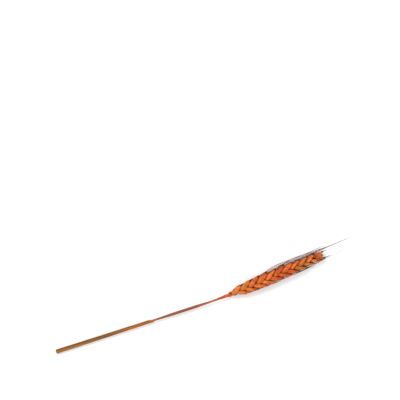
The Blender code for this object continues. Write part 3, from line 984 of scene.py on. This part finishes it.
def barb_piece():
    """Barbs along the whole awns, at random turns round them, each leaning forward along the bristle."""
    draws = np.random.default_rng(SEED + 3)
    count, steps = whole_paths.shape[:2]
    row = np.repeat(np.arange(count), BARBS_EACH)
    step = draws.integers(3, steps - 2, len(row))
    along, side, up = (field[row, step] for field in path_frames(whole_paths))
    turn = draws.uniform(0, 2 * math.pi, (len(row), 1))
    out = np.cos(turn) * side + np.sin(turn) * up
    share = step[:, None] / (steps - 1)
    reach = draws.uniform(0.30, 0.62, (len(row), 1)) * MM
    feet = whole_paths[row, step] + out * awn_radius(share, AWN_TIP_RADIUS) * 0.7
    return pyramids("awn_barbs", feet, (along * 0.9 + out * 0.45) * reach, out, BARB_WIDTH)


def comb_piece():
    """A comb of stiff hairs along the keel of each floret's lemma."""
    draws = np.random.default_rng(SEED + 4)
    length, _, outer, _, bow = own_measures(floret_scales)
    row = np.repeat(np.arange(len(floret_scales)), HAIRS_EACH)
    u = np.tile(np.linspace(0.50, 0.92, HAIRS_EACH), len(floret_scales))
    u = u + draws.uniform(-0.01, 0.01, len(row))
    along, outward = (stacked(floret_scales, key)[row] for key in ("along", "outward"))
    height = outer[row] * scale_swell(u) + bow[row] * 4 * u * (1 - u)
    feet = stacked(floret_scales, "root")[row] + along * (length[row] * u)[:, None]
    feet = feet + outward * height[:, None]
    lean = along * 0.8 + outward * 0.45 + draws.normal(0, 0.18, (len(row), 3))
    reach = draws.uniform(0.25, 0.60, (len(row), 1)) * MM
    return pyramids("keel_combs", feet, lean * reach, outward, HAIR_WIDTH)


settle(barb_piece(), bristle, "dyed_scales", "ear")
settle(comb_piece(), hairs, "dyed_scales", "ear")

# %% [markdown]
# ## The straw
# The straw is a hollow tube with fine ribs. It is narrow where it leaves the sheath, fuller in the middle,
# slim again further up, and it thickens into the collar under the ear. Its outer rings, the cut rim and the
# inner rings make one long row of rings, so that the open end shows a real wall.

# %% A ribbed, hollow straw
STALK_WALL = 0.42 * MM
SHEATH_LENGTH = 100 * MM
HOLLOW_END = 166 * MM
RIBS = 28
RIB_HEIGHT = 0.030 * MM
DENT_HEIGHT = 0.012 * MM
CUT_RAGGED = 0.12 * MM
CUT_SPAN = 3 * MM
STALK_PROFILE = [
    (0.0, 1.25 * MM),
    (SHEATH_LENGTH, 0.98 * MM),
    (122 * MM, 1.40 * MM),
    (140 * MM, 1.40 * MM),
    (161 * MM, 1.00 * MM),
    (STALK_LENGTH, 1.50 * MM),
]


def stalk_radius(x):
    """The straw's outer radius: it runs smoothly from each place of the profile to the next."""
    radius = STALK_PROFILE[0][1]
    for (start, low), (end, high) in zip(STALK_PROFILE, STALK_PROFILE[1:]):
        radius = radius + (high - low) * smooth_step((x - start) / (end - start))
    return radius


def straw_piece():
    """One row of rings: down the outside from the ear, round the cut rim, and back up the hollow."""
    sides = 56
    outside = np.linspace(STALK_LENGTH, 0, 240)
    inside = np.linspace(0, HOLLOW_END, 60)
    x = np.concatenate([outside, inside])[:, None]
    is_inside = np.concatenate([np.zeros_like(outside), np.ones_like(inside)])[:, None]
    angle = np.linspace(0, 2 * math.pi, sides, endpoint=False)[None, :]
    fine_ribs = 0.5 + 0.5 * np.cos(RIBS * angle + 0.8 * np.sin(x * 60))
    dents = np.cos(3 * angle + x * 40) + 0.6 * np.cos(5 * angle - x * 90)
    relief = RIB_HEIGHT * (fine_ribs - 1) + DENT_HEIGHT * dents
    ragged = 1.2 + np.cos(2 * angle) + 0.5 * np.sin(9 * angle) + 0.35 * np.sin(17 * angle)
    ragged = CUT_RAGGED * ragged * (1 - smooth_step(x / CUT_SPAN))
    radius = stalk_radius(x) + relief * (1 - is_inside) - STALK_WALL * is_inside
    points, grain = around(x + ragged, radius * np.cos(angle), radius * np.sin(angle))
    poles, pole_grain = around(np.array([STALK_LENGTH, HOLLOW_END]), np.zeros(2), np.zeros(2))
    values = {
        "grain": (grain[None], pole_grain[None]),
        "flank": (np.cos(angle)[None], 0.0),
        "reach": (x[None] / STALK_LENGTH, [[1.0, HOLLOW_END / STALK_LENGTH]]),
        "outside": (1 - is_inside[None], [[1.0, 0.0]]),
    }
    return tube_piece("straw", points[None], poles[None], values)


# %% [markdown]
# ## The finish of the straw
# Straw is glossier than husk. The dye lies in long streaks: red-orange under the ear, where it runs into the
# orange of the collar, paler where the straw is slim, red-brown where it is full, and golden inside the
# sheath. Its left flank, and less of its right one, is painted darker as shade on the round straw.

# %% Dyed straw
STRAW_RED = linear(170, 66, 24)
STRAW_BROWN = linear(132, 72, 38)
STRAW_GOLD = linear(178, 102, 42)
STRAW_DARK = linear(66, 27, 10)


def straw_dye_and_painted_shade():
    """Long streaks of dye along the straw, thin dark lines between its ribs, and a pale inside.

    Its flanks are darkened as painted shade.
    """
    bench = DyeBench("dyed_straw", specular=0.25)
    grain, reach, outside = bench.attributes("grain", "reach", "outside")
    lines = bench.pattern(grain, (30, 4200, 4200), 3.0, 0.6)
    streaks = bench.pattern(grain, (16, 900, 900))
    patches = bench.pattern(grain, (70, 260, 260))
    height_up = reach + 0.12 * (patches - 0.5)
    bench.colour = STRAW_GOLD
    bench.stain_or_shade(STRAW_BROWN, height_up, 0.50, 0.62)
    bench.stain_or_shade(STRAW_GOLD, height_up, 0.76, 0.86, 0.75)
    bench.stain_or_shade(STRAW_RED, height_up, 0.90, 0.97)
    bench.stain_or_shade(STRAW_RED, streaks, 0.45, 0.72, 0.7)
    bench.stain_or_shade(ORANGE, reach + 0.05 * (streaks - 0.5), 0.955, 1.0, 0.75)
    bench.stain_or_shade(STRAW_DARK, lines, 0.50, 0.72, 0.7)
    # Painted shade on the flanks of the round straw.
    bench.shade_flanks(STRAW_DARK, streaks, 0.80)
    bench.colour = bench.mix(1 - outside, bench.colour, STRAW_YELLOW)
    return bench.finish(0.36 + 0.25 * lines, lines, 0.05 * MM, 0.6)


straw = straw_piece()
settle(straw, straw_dye_and_painted_shade(), "dyed_straw", "stalk")

# %% [markdown]
# ## The leaf sheath
# The uppermost leaf wraps the straw for some ten centimetres. It is a rolled sheet with parallel veins,
# whose one margin lies over the other, and its mouth runs up to a ragged lip. A spiral does the
# rolling: the radius grows a little with the angle, by more than the sheet's thickness in one turn.

# %% A rolled sheet
SHEATH_CUT_RADIUS = 1.71 * MM
SHEATH_MOUTH_RADIUS = 1.26 * MM
SHEATH_WALL = 0.20 * MM
SHEATH_STEP = 0.27 * MM
SHEATH_TURN = math.radians(408)
SHEATH_START = math.radians(-74)
MOUTH_SLANT = 5.0 * MM
MOUTH_RAGGED = 0.45 * MM
VEIN_HEIGHT = 0.045 * MM
PUCKER_HEIGHT = 0.04 * MM
GAPE = 0.14 * MM
SHEATH_WIDTH = 12 * MM


def sheath_piece():
    """A wall that runs round a spiral and back inside, ring by ring, up to a slanting, ragged mouth."""
    rings, across_steps = 150, 110
    turn = np.concatenate([np.linspace(0, 1, across_steps), np.linspace(1, 0, across_steps)])[None, :]
    is_inside = np.concatenate([np.zeros(across_steps), np.ones(across_steps)])[None, :]
    share = np.linspace(0, 1, rings)[:, None]
    angle = SHEATH_START + turn * SHEATH_TURN
    slant = (1 - np.cos(turn * SHEATH_TURN - math.radians(20))) / 2
    ragged = 0.5 * np.sin(turn * 31) + 0.35 * np.sin(turn * 67 + 1) + 0.25 * np.sin(turn * 131 + 2)
    mouth = SHEATH_LENGTH - MOUTH_SLANT + MOUTH_SLANT * slant + MOUTH_RAGGED * (ragged - 0.9)
    x = share * mouth
    base = SHEATH_CUT_RADIUS + (SHEATH_MOUTH_RADIUS - SHEATH_CUT_RADIUS) * share
    veins = VEIN_HEIGHT * np.cos(46 * turn * math.pi + 0.5 * np.sin(x * 90))
    puckers = PUCKER_HEIGHT * np.sin(x * 260 + 5 * turn) * np.cos(2 * angle + x * 55)
    gape = GAPE * smooth_step((share - 0.93) / 0.07) * slant
    thin = 1 - 0.55 * smooth_step((np.abs(turn - 0.5) - 0.40) / 0.10)
    radius = base + SHEATH_STEP * turn + (veins + puckers) * (1 - is_inside) + gape
    radius = radius + SHEATH_WALL * thin * (0.5 - is_inside)
    points, _ = around(x, radius * np.cos(angle), radius * np.sin(angle))
    values = {
        "grain": (vectors(x, turn * SHEATH_WIDTH, is_inside * MM)[None], None),
        "flank": (np.cos(angle)[None], None),
        "reach": (share[None], None),
        "margin": (1 - np.abs(2 * turn - 1)[None], None),
    }
    return tube_piece("sheath", off_the_floor(points)[None], None, values, end_strips=True)


# %% [markdown]
# ## The finish of the sheath
# The dry leaf took little dye. It is a golden olive with orange patches and dark streaks between its veins.
# Its margins are dark, and its left flank is painted darker as shade on the round sheath.

# %% Dyed leaf
LEAF_GOLD = linear(184, 110, 22)
LEAF_OLIVE = linear(104, 66, 10)
LEAF_ORANGE = linear(146, 66, 12)
LEAF_DARK = linear(44, 24, 6)


def leaf_dye_and_painted_shade():
    """Golden olive, streaked with orange along the veins, and dark at the margins.

    The left flank is darkened as painted shade.
    """
    bench = DyeBench("dyed_leaf", specular=0.22)
    grain, reach, margin = bench.attributes("grain", "reach", "margin")
    veins = bench.pattern(grain, (22, 2600, 400), 3.0, 0.6)
    streaks = bench.pattern(grain, (14, 520, 300))
    patches = bench.pattern(grain, (60, 160, 100))
    bench.colour = LEAF_OLIVE
    bench.stain_or_shade(LEAF_GOLD, streaks, 0.38, 0.62)
    bench.stain_or_shade(LEAF_ORANGE, patches + 0.5 * (reach - 0.6), 0.45, 0.70, 0.6)
    bench.stain_or_shade(LEAF_DARK, veins, 0.50, 0.72, 0.75)
    # Painted shade on the flanks of the round sheath.
    bench.shade_flanks(LEAF_DARK, streaks, 0.95)
    bench.stain_or_shade(LEAF_DARK, margin + 0.04 * (veins - 0.5), 0.07, 0.01, 0.8)
    return bench.finish(0.48 + 0.25 * veins, veins, 0.10 * MM, 0.8)


sheath = sheath_piece()
settle(sheath, leaf_dye_and_painted_shade(), "dyed_leaf", "leaf_sheath")

# %% [markdown]
# ## Floor, light and camera
# The ear lies on a plain white surface. A large soft light from the upper left gives the scales their
# bright sides, and a weak one from the lower right and a pale surround keep the shadows soft. The camera
# looks down through a long lens and leans a little towards the top of the picture, so that the upper rank
# shows more of its width. It is turned and placed so that the foot of the ear, the slope of the straw and
# the scale are the picture's.

# %% Floor and light
FLOOR_HALF = 3.0
FLOOR_HEIGHT = -0.05 * MM
LIGHT_DISTANCE = 1.5
PICTURE_SIDE = 400
PIXEL = 0.955 * MM
FOOT_PIXEL = (228.9, 296.0)
STRAW_SLOPE = math.radians(18.5)
CAMERA_DISTANCE = 1.6
CAMERA_LEAN = math.radians(9)
SENSOR = 36.0
KEY_SIDE = 0.5
KEY_POWER = 12.5
FILL_SIDE = 1.0
FILL_POWER = 1.5
SURROUND = 1.02
PALE = (0.90, 0.90, 0.90, 1.0)
PALER = (0.93, 0.93, 0.93, 1.0)

picture_right = np.array([math.cos(STRAW_SLOPE), -math.sin(STRAW_SLOPE), 0.0])
picture_up = np.array([math.sin(STRAW_SLOPE), math.cos(STRAW_SLOPE), 0.0])


def floor_piece():
    """A square of white surface, a hair below the ear, with the faintest unevenness."""
    signs = [(-1, -1), (1, -1), (1, 1), (-1, 1)]
    corners = [(x * FLOOR_HALF, y * FLOOR_HALF, FLOOR_HEIGHT) for x, y in signs]
    mesh = bpy.data.meshes.new("floor")
    mesh.from_pydata(corners, [], [(0, 1, 2, 3)])
    floor = linked("floor", mesh)
    bench = DyeBench("white_surface")
    cloud = bench.noise(bench.add("TexCoord", {}, {}, "Object"), 9.0)
    bench.colour = bench.mix(cloud, PALE, PALER)
    floor.data.materials.append(bench.finish(0.9, cloud, 0.01 * MM, 0.1))


def aim(holder, way, right, distance):
    """Puts a light or camera at the distance from the picture's middle, looking back along the way."""
    holder.location = picture_middle + way * distance
    holder.rotation_euler = Matrix(np.stack([right, np.cross(way, right), way], 1).tolist()).to_euler()


def soft_light(name, towards, side, power):
    """A square light that shines on the middle of the picture from the given direction."""
    lamp = bpy.data.lights.new(name, "AREA")
    lamp.shape = "SQUARE"
    lamp.size = side
    lamp.energy = power
    way = unit(towards)
    aim(linked(name, lamp), way, unit(np.cross([0.0, 1.0, 0.02], way)), LIGHT_DISTANCE)


foot = axis_point(STALK_LENGTH)
half_side = PICTURE_SIDE / 2
picture_middle = foot + PIXEL * (
    (half_side - FOOT_PIXEL[0]) * picture_right + (FOOT_PIXEL[1] - half_side) * picture_up
)
picture_middle[2] = 0.0
floor_piece()
upwards = np.array([0.0, 0.0, 1.0])
soft_light("key", picture_up * 0.55 - picture_right * 0.45 + upwards * 0.8, KEY_SIDE, KEY_POWER)
soft_light("fill", picture_right * 0.8 - picture_up * 0.5 + upwards * 0.9, FILL_SIDE, FILL_POWER)
world = bpy.data.worlds.new("studio")
world.use_nodes = True
surround = world.node_tree.nodes["Background"]
surround.inputs["Color"].default_value = (1.0, 1.0, 1.0, 1.0)
surround.inputs["Strength"].default_value = SURROUND
bpy.context.scene.world = world
bpy.context.scene.view_settings.view_transform = "Standard"
print("middle of the picture at", np.round(picture_middle, 4))

# %% Camera
lens = bpy.data.cameras.new("camera")
lens.sensor_width = SENSOR
lens.lens = SENSOR * CAMERA_DISTANCE / (PICTURE_SIDE * PIXEL)
lens.clip_end = 20.0
camera = linked("camera", lens)
back = picture_up * math.sin(CAMERA_LEAN) + upwards * math.cos(CAMERA_LEAN)
aim(camera, back, picture_right, CAMERA_DISTANCE)
bpy.context.scene.camera = camera
print("lens of", round(lens.lens, 1), "mm")

# %% [markdown]
# ## Sizes
# The fine model has to fill the same box as the solids.

# %% Finish
bpy.context.view_layer.update()
